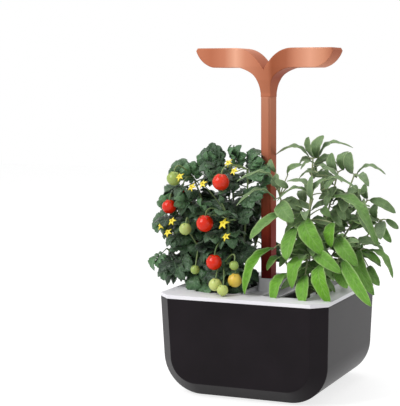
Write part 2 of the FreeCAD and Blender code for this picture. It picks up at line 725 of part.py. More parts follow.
ripe_fruit = (
    (V(-38, -47, 228), 9.2), (V(-52, -58, 184), 9.2), (V(-105, -36, 198), 8.0), (V(-38, -66, 144), 8.4),
    (V(-92, -30, 213), 6.0),
)
unripe_fruit = (
    (V(-100, -34, 229), 8.0), (V(-79, -50, 176), 6.8), (V(-14, -66, 126), 7.6), (V(-34, -72, 121), 7.0),
    (V(-22, -80, 117), 6.0), (V(-62, -62, 134), 5.0), (V(-14, -68, 142), 5.0),
)
flowers = (
    V(-27, -66, 186), V(-70, -52, 222), V(-56, -54, 226), V(-88, -44, 232), V(-33, -38, 248), V(-24, -44, 240),
    V(-94, -52, 184), V(-110, -46, 178), V(-97, -56, 172), V(-24, -66, 172),
)
tomato_blades = [(base, tip, width, tomato_face, tomato_shape, leaf_thick)
                 for base, tip, width in tomato_leaves]
calyx_shape = ((0, 0.3), (0.6, 1.0), (1, 0.8))
calyx_lean = V(0, 2, 3)
clear_balls = []
for centre, radius in ripe_fruit + unripe_fruit:
    top = centre + V(0, 0, radius + soft_gap)
    tomato_blades.append((top + calyx_lean, top, calyx_width, tomato_face, calyx_shape, leaf_thick))
    clear_balls.append(Part.makeSphere(radius + soft_gap, centre))
petal_face = V(-0.3, -0.8, 0.6)
petal_face.normalize()
stalk_shape = ((0, 0.6), (1, 0.6))
stalk_lean = V(1.5, 4, -2)
for centre in flowers:
    back = centre - petal_face * soft_gap
    tomato_blades.append((back + stalk_lean, back, flower_stalk_width, tomato_face, stalk_shape, leaf_thick))
tomato = grown(tomato_stems, tomato_blades, tomato_stalk)


def star(centre):
    """Pointed petals facing out and up."""
    across = petal_face.cross(UP)
    across.normalize()
    other = across.cross(petal_face)
    ring = []
    for k in range(2 * petals):
        reach = flower_radius if k % 2 == 0 else flower_waist * flower_radius
        turn = math.pi * k / petals
        ring.append(centre + across * (reach * math.cos(turn)) + other * (reach * math.sin(turn)))
    ring.append(ring[0])
    return Part.Face(Part.makePolygon(ring)).extrude(petal_face * flower_thick)


stars = [star(centre) for centre in flowers]
tomato = tomato.cut(Part.makeCompound(clear_balls))
tomato = tomato.cut(Part.makeCompound(stars))
column_room = box(-half_w - leaf_gap, half_w + leaf_gap, lamp_y - half_d - leaf_gap, lamp_y + half_d + leaf_gap,
                  plant_base, column_end)
cover_room = octagon(rim_width / 2 + soft_gap, rim_depth / 2 + soft_gap, corner_cut, 0, cover_top + soft_gap)
for side in (-1, 1):
    cover_room = cover_room.cut(well(side, -frame_bar - leaf_gap, plant_base, cover_top + past, hollow_corner))
tomato = tomato.cut(column_room).cut(cover_room)
sage = sage.cut(column_room).cut(cover_room)
save("tomato_plant", max(tomato.Solids, key=lambda solid: solid.Volume))
save("sage_plant", max(sage.Solids, key=lambda solid: solid.Volume))
save("ripe_tomatoes", Part.makeCompound([Part.makeSphere(radius, centre) for centre, radius in ripe_fruit]))
save("unripe_tomatoes", Part.makeCompound([Part.makeSphere(radius, centre)
                                           for centre, radius in unripe_fruit]))
save("tomato_flowers", Part.makeCompound(stars))

os.makedirs("parts", exist_ok=True)
for name, shape in parts.items():
    shape.exportStep("parts/" + name + ".step")
    print(name, len(shape.Solids), "solids, valid", shape.isValid(), "volume", round(shape.Volume, 1))
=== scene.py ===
import math
import random

import bmesh
import bpy
from mathutils import Matrix, Vector


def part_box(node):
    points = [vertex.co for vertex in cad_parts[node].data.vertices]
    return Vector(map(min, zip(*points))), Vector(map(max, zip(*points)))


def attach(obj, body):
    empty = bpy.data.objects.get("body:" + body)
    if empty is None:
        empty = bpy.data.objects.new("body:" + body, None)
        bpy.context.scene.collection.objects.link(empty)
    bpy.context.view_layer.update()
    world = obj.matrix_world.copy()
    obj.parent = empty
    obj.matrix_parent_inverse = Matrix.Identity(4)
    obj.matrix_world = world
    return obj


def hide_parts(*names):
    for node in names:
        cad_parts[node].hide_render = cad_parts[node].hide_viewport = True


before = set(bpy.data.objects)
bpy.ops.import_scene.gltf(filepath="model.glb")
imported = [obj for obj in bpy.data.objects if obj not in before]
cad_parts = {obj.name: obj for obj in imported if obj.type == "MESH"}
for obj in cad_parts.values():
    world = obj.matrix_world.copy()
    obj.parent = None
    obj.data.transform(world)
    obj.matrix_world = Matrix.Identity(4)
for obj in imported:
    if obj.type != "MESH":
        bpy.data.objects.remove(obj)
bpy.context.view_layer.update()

mm = 0.001
random.seed(7)
bpy.ops.object.select_all(action="DESELECT")
scene = bpy.context.scene
scene.view_settings.view_transform = "Standard"
print("frame loaded", len(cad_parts), "nodes")


# colours are written as 0-255 screen values
def tone(red, green, blue):
    def one(v):
        v = v / 255
        return v / 12.92 if v <= 0.04045 else ((v + 0.055) / 1.055) ** 2.4
    return (one(red), one(green), one(blue), 1.0)


# helpers for materials
noiseBand = (0.3, 0.7)  # most of a noise's values lie between these
white = (1, 1, 1, 1)


def newMaterial(name):
    mat = bpy.data.materials.new(name)
    mat.use_nodes = True
    return mat, mat.node_tree.nodes, mat.node_tree.links, mat.node_tree.nodes["Principled BSDF"]


def objectNoise(nodes, links, scale, detail, stretch=(1, 1, 1)):
    coords = nodes.new("ShaderNodeTexCoord")
    mapping = nodes.new("ShaderNodeMapping")
    mapping.inputs["Scale"].default_value = stretch
    noise = nodes.new("ShaderNodeTexNoise")
    noise.inputs["Scale"].default_value = scale
    noise.inputs["Detail"].default_value = detail
    links.new(coords.outputs["Object"], mapping.inputs["Vector"])
    links.new(mapping.outputs["Vector"], noise.inputs["Vector"])
    return noise.outputs["Fac"]


def ramp(nodes, links, source, stops):
    node = nodes.new("ShaderNodeValToRGB")
    links.new(source, node.inputs["Fac"])
    node.color_ramp.elements[0].position = stops[0][0]
    node.color_ramp.elements[0].color = stops[0][1]
    node.color_ramp.elements[1].position = stops[-1][0]
    node.color_ramp.elements[1].color = stops[-1][1]
    for place, colour in stops[1:-1]:
        node.color_ramp.elements.new(place).color = colour
    return node.outputs["Color"]


def spread(nodes, links, source, fromRange, toRange):
    # one range of values laid over another
    node = nodes.new("ShaderNodeMapRange")
    node.inputs["From Min"].default_value, node.inputs["From Max"].default_value = fromRange
    node.inputs["To Min"].default_value, node.inputs["To Max"].default_value = toRange
    links.new(source, node.inputs["Value"])
    return node.outputs["Result"]


def feed(links, socket, value):
    # a socket takes another node's output or a plain value
    if isinstance(value, bpy.types.NodeSocket):
        links.new(value, socket)
    else:
        socket.default_value = value


def maths(nodes, links, operation, *values):
    node = nodes.new("ShaderNodeMath")
    node.operation = operation
    for socket, value in zip(node.inputs, values):
        feed(links, socket, value)
    return node.outputs["Value"]


def mixColours(nodes, links, blend, share, first, second):
    node = nodes.new("ShaderNodeMix")
    node.data_type = "RGBA"
    node.blend_type = blend
    for place, value in ((0, share), (6, first), (7, second)):
        feed(links, node.inputs[place], value)
    return node.outputs[2]


def relief(nodes, links, shader, source, strength, depth, under=None):
    # raises the surface by source, over the normal of under
    bump = nodes.new("ShaderNodeBump")
    bump.inputs["Strength"].default_value = strength
    bump.inputs["Distance"].default_value = depth
    links.new(source, bump.inputs["Height"])
    if under:
        links.new(under, bump.inputs["Normal"])
    links.new(bump.outputs["Normal"], shader.inputs["Normal"])


finishLook = {
    "cloudScale": 22,
    "cloudDetail": 3,
    "grainDetail": 6,
    "grainStrength": 0.35,
    "unevenGloss": 0.12,
    "edgeSamples": 4,
}


def finish(name, dark, light, rough, grain, edge=0.0, metal=0.0, stretch=(1, 1, 1), depth=0.02 * mm, gloss=0.5):
    # moulded or coated surface: cloudy colour, uneven gloss, fine grain, softened edges
    mat, nodes, links, shader = newMaterial(name)
    cloud = objectNoise(nodes, links, finishLook["cloudScale"], finishLook["cloudDetail"])
    fine = objectNoise(nodes, links, grain, finishLook["grainDetail"], stretch)
    uneven = finishLook["unevenGloss"]
    links.new(ramp(nodes, links, cloud, [(noiseBand[0], dark), (noiseBand[1], light)]), shader.inputs["Base Color"])
    links.new(spread(nodes, links, fine, noiseBand, (rough * (1 - uneven), rough * (1 + uneven))),
              shader.inputs["Roughness"])
    shader.inputs["Metallic"].default_value = metal
    shader.inputs["Specular IOR Level"].default_value = gloss
    softEdge = None
    if edge:
        bevel = nodes.new("ShaderNodeBevel")
        bevel.samples = finishLook["edgeSamples"]
        bevel.inputs["Radius"].default_value = edge
        softEdge = bevel.outputs["Normal"]
    relief(nodes, links, shader, fine, finishLook["grainStrength"], depth, softEdge)
    return mat


def dress(mat, nodeNames):
    for nodeName in nodeNames:
        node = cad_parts[nodeName]
        node.data.materials.clear()
        node.data.materials.append(mat)


# rigid finishes and the pieces that wear them
rigidFinishes = {
    "blackShell": {"dark": tone(19, 14, 18), "light": tone(26, 20, 25), "rough": 0.34, "grain": 2600,
                   "edge": 2 * mm, "gloss": 0.12, "pieces": ["outer_casing"]},
    "whiteShell": {"dark": tone(232, 230, 236), "light": tone(242, 241, 245), "rough": 0.42, "grain": 2400,
                   "edge": 0.7 * mm, "pieces": ["top_cover", "lamp_socket", "pod_frame_left", "pod_frame_right",
                                                "float_guide", "power_button"]},
    "tankGrey": {"dark": tone(66, 66, 70), "light": tone(78, 78, 82), "rough": 0.55, "grain": 1500,
                 "pieces": ["water_tank"]},
    "basketBlack": {"dark": tone(22, 22, 22), "light": tone(34, 33, 32), "rough": 0.6, "grain": 1800,
                    "edge": 0.4 * mm, "pieces": ["basket_left", "basket_right", "push_switch", "power_inlet",
                                                 "column_plug"]},
    "rubberFoot": {"dark": tone(26, 26, 27), "light": tone(40, 40, 41), "rough": 0.8, "grain": 3000,
                   "depth": 0.06 * mm, "pieces": ["rubber_feet"]},
    "heatMetal": {"dark": tone(196, 197, 200), "light": tone(214, 215, 218), "rough": 0.35, "grain": 1800,
                  "metal": 1.0, "stretch": (0.1, 1, 1), "pieces": ["heat_plate_left", "heat_plate_right"]},
    "greenBoard": {"dark": tone(14, 84, 44), "light": tone(22, 100, 54), "rough": 0.4, "grain": 900,
                   "pieces": ["control_board"]},
    "whiteBoard": {"dark": tone(222, 222, 220), "light": tone(234, 234, 232), "rough": 0.45, "grain": 900,
                   "pieces": ["led_board_left", "led_board_right"]},
    "ledPackage": {"dark": tone(238, 222, 150), "light": tone(250, 238, 180), "rough": 0.3, "grain": 1400,
                   "pieces": ["led_chips_left", "led_chips_right"]},
    "blackCable": {"dark": tone(24, 24, 25), "light": tone(36, 36, 37), "rough": 0.6, "grain": 1500,
                   "pieces": ["lamp_wiring"]},
    "floatRed": {"dark": tone(190, 60, 44), "light": tone(208, 72, 52), "rough": 0.5, "grain": 1500,
                 "pieces": ["water_float"]},
    "zincSteel": {"dark": tone(170, 172, 176), "light": tone(190, 192, 196), "rough": 0.32, "grain": 2200,
                  "metal": 1.0, "pieces": ["socket_screw"]},
}
for name, look in rigidFinishes.items():
    pieces = look.pop("pieces")
    dress(finish(name, **look), pieces)

# the lamp's panes glow a little
paneLook = {"dark": tone(226, 218, 236), "light": tone(240, 234, 246), "rough": 0.35, "grain": 1400}
paneGlow = {"Emission Color": tone(236, 222, 255), "Emission Strength": 0.35}
glowPane = finish("glowPane", **paneLook)
for socket, value in paneGlow.items():
    glowPane.node_tree.nodes["Principled BSDF"].inputs[socket].default_value = value
dress(glowPane, ["diffuser_left", "diffuser_right"])

# copper coating: painted shade and a painted red reflection deepen the post to a dark red towards its foot, and painted
# highlights and painted shade make the arms brighten where they bend
copperLook = {"dark": tone(170, 104, 76), "light": tone(188, 122, 92), "rough": 0.42, "grain": 3200,
              "edge": 1.5 * mm, "metal": 0.45, "stretch": (1, 1, 0.15), "gloss": 0.15}
copperGleam = tone(214, 140, 110)
# painted shade and painted red reflection: the post darkens to red towards its foot
postPaintedShadeLook = {
    "axis": "Z", "low": 110 * mm, "high": 330 * mm,
    "stops": [(0.0, tone(100, 26, 34)), (0.28, tone(140, 52, 38)), (0.55, tone(168, 96, 70)),
              (1.0, tone(184, 126, 100))],
}
# painted highlights and painted shade in bands along the arms
armPaintedLightLook = {
    "axis": "X", "low": -80 * mm, "high": 80 * mm,
    "stops": [(0.0, tone(186, 118, 90)), (0.12, tone(178, 108, 80)), (0.22, tone(192, 124, 96)),
              (0.3, tone(224, 166, 138)), (0.37, tone(200, 134, 106)), (0.46, tone(184, 116, 88)),
              (0.53, tone(176, 108, 80)), (0.56, tone(150, 84, 58)), (0.66, tone(162, 96, 70)),
              (0.73, tone(196, 130, 102)), (0.83, tone(220, 158, 130)), (0.92, tone(204, 140, 110)),
              (1.0, tone(168, 100, 74))],
}


def shadedCopper(name, axis, low, high, stops):
    # the coating with painted light and shade drifting along one axis
    mat = finish(name, **copperLook)
    nodes, links = mat.node_tree.nodes, mat.node_tree.links
    shader = nodes["Principled BSDF"]
    shader.inputs["Specular Tint"].default_value = copperGleam
    coords = nodes.new("ShaderNodeTexCoord")
    split = nodes.new("ShaderNodeSeparateXYZ")
    links.new(coords.outputs["Object"], split.inputs["Vector"])
    along = spread(nodes, links, split.outputs[axis], (low, high), (0.0, 1.0))
    links.new(ramp(nodes, links, along, stops), shader.inputs["Base Color"])
    return mat


dress(shadedCopper("copperPostPaintedShade", **postPaintedShadeLook), ["lamp_column"])
dress(shadedCopper("copperArmsPaintedLight", **armPaintedLightLook), ["lamp_head"])
print("rigid finishes done")

# living finishes
leafLook = {
    "slant": -0.5,
    "sideVeinBand": (0.82, 1.0),
    "midVeinBand": (0.05, 0.015),
    "rimBand": (0.40, 0.5),
    "mottleScale": 260,
    "mottleDetail": 5,
    "mottle": [(0.3, tone(176, 186, 178)), (0.65, tone(255, 255, 250))],
    "mottleShare": 0.55,
    # painted shade: the blade darkens towards its foot
    "foot": [(0.0, tone(176, 190, 160)), (0.5, white)],
    "gloss": 0.35,
    "inner": 0.12,
    "innerReach": (3 * mm, 4 * mm, 1 * mm),
    "sheen": 0.15,
    "reliefStrength": 0.6,
}
sageSkinLook = {
    "dull": tone(124, 148, 108), "bright": tone(108, 172, 20), "vein": tone(186, 208, 146),
    "sideVeins": 9, "marks": 0.14, "rim": 3.4, "pebble": 900, "rough": 0.62, "depth": 0.3 * mm,
}
# partly the leaves' own tones and partly painted light: the dull tone is dark enough to be painted shade inside the
# plant, and the bright one is a painted highlight
tomatoSkinPaintedShadeLook = {
    "dull": tone(14, 40, 22), "bright": tone(88, 132, 84), "vein": tone(116, 150, 108),
    "sideVeins": 6, "marks": 0.3, "rim": 0.0, "pebble": 700, "rough": 0.36, "depth": 0.4 * mm,
}


def leafFinish(name, look):
    # colour follows each leaf's own tint, its veins and rim follow the blade's map, and painted shade darkens each leaf
    # towards its foot
    mat, nodes, links, shader = newMaterial(name)
    tint = nodes.new("ShaderNodeAttribute")
    tint.attribute_name = "tint"
    uv = nodes.new("ShaderNodeUVMap")
    blade = nodes.new("ShaderNodeSeparateXYZ")
    links.new(uv.outputs["UV"], blade.inputs["Vector"])
    side = maths(nodes, links, "ABSOLUTE", maths(nodes, links, "SUBTRACT", blade.outputs["X"], 0.5))
    slant = maths(nodes, links, "MULTIPLY_ADD", side, leafLook["slant"], blade.outputs["Y"])
    wave = maths(nodes, links, "SINE", maths(nodes, links, "MULTIPLY", slant, look["sideVeins"] * 2 * math.pi))
    veins = maths(nodes, links, "MAXIMUM", spread(nodes, links, wave, leafLook["sideVeinBand"], (0.0, 1.0)),
                  spread(nodes, links, side, leafLook["midVeinBand"], (0.0, 1.0)))
    rim = spread(nodes, links, side, leafLook["rimBand"], (0.0, look["rim"]))
    marks = maths(nodes, links, "MULTIPLY", maths(nodes, links, "MAXIMUM", veins, rim), look["marks"])
    base = mixColours(nodes, links, "MIX", tint.outputs["Fac"], look["dull"], look["bright"])
    mottle = ramp(nodes, links, objectNoise(nodes, links, leafLook["mottleScale"], leafLook["mottleDetail"]),
                  leafLook["mottle"])
    patchy = mixColours(nodes, links, "MULTIPLY", leafLook["mottleShare"], base, mottle)
    # painted shade towards each leaf's foot
    shaded = mixColours(nodes, links, "MULTIPLY", 1.0, patchy, ramp(nodes, links, blade.outputs["Y"], leafLook["foot"]))
    links.new(mixColours(nodes, links, "MIX", marks, shaded, look["vein"]), shader.inputs["Base Color"])
    shader.inputs["Roughness"].default_value = look["rough"]
    shader.inputs["Specular IOR Level"].default_value = leafLook["gloss"]
    shader.inputs["Subsurface Weight"].default_value = leafLook["inner"]
    shader.inputs["Subsurface Radius"].default_value = leafLook["innerReach"]
    shader.inputs["Sheen Weight"].default_value = leafLook["sheen"]
    height = maths(nodes, links, "SUBTRACT", objectNoise(nodes, links, look["pebble"], 3), veins)
    relief(nodes, links, shader, height, leafLook["reliefStrength"], look["depth"])
    return mat


fruitSkinLook = {
    "blotchScale": 120,
    "blotch": [(0.3, tone(214, 206, 196)), (0.7, white)],
    "blotchShare": 0.5,
    "rough": (0.16, 0.26),
    "gloss": 0.3,
    "inner": 0.1,
    "innerReach": (4 * mm, 2 * mm, 1 * mm),
    "poreScale": 1800,
    "poreStrength": 0.2,
    "poreDepth": 0.04 * mm,
}


def fruitFinish(name, look):
    # a taut skin in the fruit's own colour
    mat, nodes, links, shader = newMaterial(name)
    skin = nodes.new("ShaderNodeAttribute")
    skin.attribute_name = "tint"
    blotch = objectNoise(nodes, links, look["blotchScale"], 3)
    shade = mixColours(nodes, links, "MULTIPLY", look["blotchShare"], skin.outputs["Color"],
                       ramp(nodes, links, blotch, look["blotch"]))
    links.new(shade, shader.inputs["Base Color"])
    links.new(spread(nodes, links, blotch, noiseBand, look["rough"]), shader.inputs["Roughness"])
    shader.inputs["Specular IOR Level"].default_value = look["gloss"]
    shader.inputs["Subsurface Weight"].default_value = look["inner"]
    shader.inputs["Subsurface Radius"].default_value = look["innerReach"]
    pores = objectNoise(nodes, links, look["poreScale"], 2)
    relief(nodes, links, shader, pores, look["poreStrength"], look["poreDepth"])
    return mat


sageSkin = leafFinish("sageSkin", sageSkinLook)
tomatoSkin = leafFinish("tomatoSkin", tomatoSkinPaintedShadeLook)
fruitSkin = fruitFinish("fruitSkin", fruitSkinLook)
sageBark = finish("sageBark", tone(146, 154, 112), tone(172, 180, 138), rough=0.7, grain=900, depth=0.2 * mm)
tomatoStalk = finish("tomatoStalk", tone(86, 112, 62), tone(128, 146, 92), rough=0.6, grain=1200, depth=0.1 * mm)
sepalGreen = finish("sepalGreen", tone(60, 92, 42), tone(96, 128, 62), rough=0.6, grain=900, depth=0.1 * mm)
petalYellow = finish("petalYellow", tone(238, 216, 40), tone(250, 236, 96), rough=0.55, grain=900, depth=0.1 * mm)
soilBrown = finish("soilBrown", tone(38, 28, 22), tone(66, 50, 38), rough=0.95, grain=700, depth=1.2 * mm)
wickFelt = finish("wickFelt", tone(206, 200, 186), tone(224, 220, 208), rough=0.95, grain=1600, depth=0.3 * mm)
print("living finishes done")


# modelling helpers
def at(x, y, z):
    return Vector((x, y, z)) * mm


def editSelect(obj, test):
    # picks vertices by their place, in edit mode
    mesh = bmesh.from_edit_mesh(obj.data)
    for vert in mesh.verts:
        vert.select = test(vert.co)
    mesh.select_flush_mode()
    bmesh.update_edit_mesh(obj.data)


def paint(mesh, colour):
    # one colour on all points of a copy, read by the leaf and fruit finishes
    layer = mesh.color_attributes.get("tint") or mesh.color_attributes.new("tint", "FLOAT_COLOR", "POINT")
    layer.data.foreach_set("color", list(colour) * len(mesh.vertices))


def select(pieces):
    bpy.ops.object.select_all(action="DESELECT")
    for piece in pieces:
        piece.select_set(True)
    bpy.context.view_layer.objects.active = pieces[0]


def joinUp(name, pieces):
    select(pieces)
    if len(pieces) > 1:
        bpy.ops.object.join()
    whole = bpy.context.object
    whole.name = name
    whole.select_set(False)
    return whole


def joined(name, pieces, mat, body):
    whole = joinUp(name, pieces)
    whole.data.name = name
    whole.data.materials.clear()
    whole.data.materials.append(mat)
    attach(whole, body)
    return whole


def applyModifiers(obj):
    select([obj])
    for modifier in list(obj.modifiers):
        bpy.ops.object.modifier_apply(modifier=modifier.name)
    obj.select_set(False)


def thicken(obj, thick, offset=0):
    shell = obj.modifiers.new("thicken", "SOLIDIFY")
    shell.thickness = thick
    shell.offset = offset
    applyModifiers(obj)


def smooth(obj):
    for face in obj.data.polygons:
        face.use_smooth = True


def block(low, high):
    bpy.ops.mesh.primitive_cube_add(size=1, location=(low + high) / 2)
    cube = bpy.context.object
    cube.scale = high - low
    bpy.ops.object.transform_apply(location=True, rotation=False, scale=True)
    return cube


# a blade is made one long and one wide, so these are shares of its length
bladeLook = {"narrowest": 0.02, "sag": 0.8, "ruffles": 7, "offbeat": 2}


def modelBlade(name, widths, arch, fold, ruffle, columns=5):
    # a grid whose rows are pulled to the leaf's outline, then arched and folded
    rows = len(widths) - 1
    bpy.ops.mesh.primitive_grid_add(x_subdivisions=columns - 1, y_subdivisions=rows, size=1, location=(0, 0.5, 0))
    leaf = bpy.context.object
    leaf.name = name
    bpy.ops.object.transform_apply(location=True, rotation=False, scale=False)
    bpy.ops.object.mode_set(mode="EDIT")
    for row, wide in enumerate(widths):
        up = row / rows
        editSelect(leaf, lambda co: abs(co.y - up) < 0.25 / rows)
        bpy.ops.transform.resize(value=(max(wide, bladeLook["narrowest"]), 1, 1), center_override=(0, up, 0))
        bpy.ops.transform.translate(value=(0, 0, arch * math.sin(math.pi * up) - arch * bladeLook["sag"] * up * up))
    bpy.ops.object.mode_set(mode="OBJECT")
    for vert in leaf.data.vertices:
        across = abs(vert.co.x)
        beat = vert.co.y * math.pi * bladeLook["ruffles"] + (bladeLook["offbeat"] if vert.co.x > 0 else 0)
        vert.co.z += fold * across + math.sin(beat) * ruffle * across
    leaf.data.update()
    smooth(leaf)
    leaf.select_set(False)
    return leaf


def hang(source, base, tip, width, face, colour, roll=0.0):
    # a copy of the blade laid from base to tip, its upper side towards face
    along = tip - base
    length = along.length
    along = along.normalized()
    across = along.cross(face).normalized()
    normal = across.cross(along).normalized()
    if roll:
        turn = Matrix.Rotation(roll, 3, along)
        across = turn @ across
        normal = turn @ normal
    matrix = Matrix.Identity(4)
    for i in range(3):
        matrix[i][0] = across[i] * width
        matrix[i][1] = along[i] * length
        matrix[i][2] = normal[i] * length
        matrix[i][3] = base[i]
    mesh = source.data.copy()
    mesh.transform(matrix)
    paint(mesh, colour)
    piece = bpy.data.objects.new(source.name + "Copy", mesh)
    scene.collection.objects.link(piece)
    return piece


def stalk(name, points, radius, taper, sides):
    # a tapering tube along a smooth curve
    curve = bpy.data.curves.new(name, "CURVE")
    curve.dimensions = "3D"
    curve.bevel_depth = radius
    curve.bevel_resolution = sides
    curve.resolution_u = 6
    curve.use_fill_caps = True
    spline = curve.splines.new("NURBS")
    spline.points.add(len(points) - 1)
    for i, point in enumerate(points):
        spline.points[i].co = (point.x, point.y, point.z, 1)
        spline.points[i].radius = 1 - (1 - taper) * i / (len(points) - 1)
    spline.order_u = 3
    spline.use_endpoint_u = True
    piece = bpy.data.objects.new(name, curve)
    scene.collection.objects.link(piece)
    select([piece])
    bpy.ops.object.convert(target="MESH")
    piece = bpy.context.object
    smooth(piece)
    piece.select_set(False)
    return piece


def nearestOn(stems, point):
    # the spot on any of the stems that is nearest to the point
    best = None
    for path in stems:
        for start, end in zip(path, path[1:]):
            run = end - start
            share = max(0.0, min(1.0, (point - start).dot(run) / run.dot(run)))
            spot = start + run * share
            if best is None or (point - spot).length < (point - best).length:
                best = spot
    return best


def petiole(name, paths, base, end, look):
    # a thin stalk from the nearest stem to a leaf that doesn't start on one
    root = nearestOn(paths, base)
    gap = (base - root).length
    if gap <= look["touching"]:
        return []
    lift = (base + root) / 2 + Vector((0, 0, look["lift"] * gap))
    return [stalk(name, [root, lift, end], look["petiole"], look["petioleTaper"], 2)]


def alongStem(path, share):
    # a stem has three points; share is 0 at its root and 1 at its top
    return path[0].lerp(path[1], share * 2) if share < 0.5 else path[1].lerp(path[2], share * 2 - 1)


def inRoom(point, room):
    # room is the lowest and the highest corner in millimetres
    return all(low * mm <= value <= high * mm for low, value, high in zip(room[0], point, room[1]))


def fade(height, top, over, least):
    # 1 well below top, falling to least at it
    return max(least, min(1.0, (top - height) / over))


def grey(tint):
    return (tint, tint, tint, 1)


# growing medium: a crumbly block in each basket, a little under its rim
soilLook = {
    "gap": 0.3 * mm,
    "cuts": (5, 3, 1),
    "crumb": 6 * mm,
    "crumbDetail": 3,
    "lumps": 6 * mm,
    "level": 0.75,
    "topBand": 1 * mm,
}


def modelMedium(word):
    low, high = (Vector(corner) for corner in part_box("growing_medium_" + word))
    gap = Vector((1, 1, 1)) * soilLook["gap"]
    soil = block(low + gap, high - gap)
    bpy.ops.object.mode_set(mode="EDIT")
    bpy.ops.mesh.select_all(action="SELECT")
    for cuts in soilLook["cuts"]:
        bpy.ops.mesh.subdivide(number_cuts=cuts)
    bpy.ops.object.mode_set(mode="OBJECT")
    crumbs = bpy.data.textures.new("crumbs" + word, "CLOUDS")
    crumbs.noise_scale = soilLook["crumb"]
    crumbs.noise_depth = soilLook["crumbDetail"]
    top = soil.vertex_groups.new(name="top")
    top.add([v.index for v in soil.data.vertices if v.co.z > high.z - soilLook["topBand"]], 1.0, "REPLACE")
    lumpy = soil.modifiers.new("lumpy", "DISPLACE")
    lumpy.texture = crumbs
    lumpy.texture_coords = "GLOBAL"
    lumpy.direction = "Z"
    lumpy.strength = soilLook["lumps"]
    lumpy.mid_level = soilLook["level"]
    lumpy.vertex_group = "top"
    applyModifiers(soil)
    soil = joined("growingMedium" + word.title(), [soil], soilBrown, "cover")
    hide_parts("growing_medium_" + word)


# wick: a flat felt strap under the medium and a tail down into the water
wickLook = {"strapThick": 2 * mm, "tailWide": 10 * mm, "tailThick": 2 * mm, "soft": 0.6 * mm, "softSteps": 3}


def modelWick(word):
    low, high = (Vector(corner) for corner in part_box("wick_" + word))
    middle = (low + high) / 2
    headLow = high.z - wickLook["strapThick"]
    half = Vector((wickLook["tailWide"], wickLook["tailThick"], 0)) / 2
    strap = block(Vector((low.x, low.y, headLow)), high)
    tail = block(Vector((middle.x, middle.y, low.z)) - half, Vector((middle.x, middle.y, headLow)) + half)
    for felt in (strap, tail):
        soften = felt.modifiers.new("soften", "BEVEL")
        soften.width = wickLook["soft"]
        soften.segments = wickLook["softSteps"]
        applyModifiers(felt)
        smooth(felt)
    wick = joined("wick" + word.title(), [strap, tail], wickFelt, "cover")
    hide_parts("wick_" + word)


for word in ("left", "right"):
    modelMedium(word)
    modelWick(word)
print("growing medium and wicks done")

# sage: soft oval leaves in pairs up pale stems
sageLook = {
    "root": at(40, 0, 96),
    "face": Vector((-0.25, -0.8, 0.55)),  # the way that most leaves turn their upper side
    "skyward": Vector((-0.1, -0.3, 1)),  # the way that the arching ones do
    "arching": (2, 3, 7, 8, 9, 10, 17, 18, 28, 30, 46, 47, 50, 51, 52, 53, 54),
    "stem": 1.25 * mm,
    "stemTaper": 0.7,
    "petiole": 0.75 * mm,
    "petioleTaper": 0.8,
    "stalklet": 0.6 * mm,
    "stalkletTaper": 0.9,
    "touching": 0.8 * mm,
    "lift": 0.12,
    "sunk": 0.05,  # the share of a leaf that its petiole reaches into
    "thick": 0.45 * mm,
    "broad": 1.12,
    "fading": (225, 60, 0.2),  # the tint fades to nothing at this height, over this much, but never below this share
    "filler": 150,
    "fillerSpot": (0.35, 1.0),
    "fillerReach": (20, 36),
    "fillerRise": (-0.6, 0.6),
    "fillerLean": (-0.2, 0.2),
    "fillerFace": (-0.6, 0.8),
    "fillerTint": (0.0, 0.7),
    "fillerWide": (9, 14),
    "fillerFading": (215, 70, 0.1),
    "room": ((13, -84, 106), (138, 84, 262)),
}
# the outline is a half wave, blunted at both ends
outlineLook = {"rows": 16, "blunt": 0.48, "ends": 0.1}
sageOutline = [max(0.0, math.sin(math.pi * row / outlineLook["rows"])) ** outlineLook["blunt"]
               for row in range(outlineLook["rows"] + 1)]
sageOutline[0] = sageOutline[-1] = outlineLook["ends"]
sageModels = [
    modelBlade("sageBladeFlat", sageOutline, arch=0.06, fold=0.14, ruffle=0.02, columns=7),
    modelBlade("sageBladeArched", sageOutline, arch=0.16, fold=0.20, ruffle=0.03, columns=7),
    modelBlade("sageBladeCurled", sageOutline, arch=0.26, fold=0.10, ruffle=0.05, columns=7),
]
# a point on the way up and the top of each stem, in millimetres
sageTops = (
    ((42, 8, 170), (46, 10, 252)), ((62, 5, 180), (76, 6, 238)), ((70, 6, 170), (94, 8, 236)),
    ((78, 4, 160), (108, 8, 208)), ((80, 8, 140), (124, 14, 188)), ((36, -12, 150), (20, -22, 212)),
    ((56, -16, 150), (54, -26, 192)), ((72, -14, 130), (96, -26, 160)), ((50, -20, 125), (56, -34, 150)),
    ((32, -18, 125), (22, -30, 162)), ((64, 10, 120), (104, 8, 156)),
)
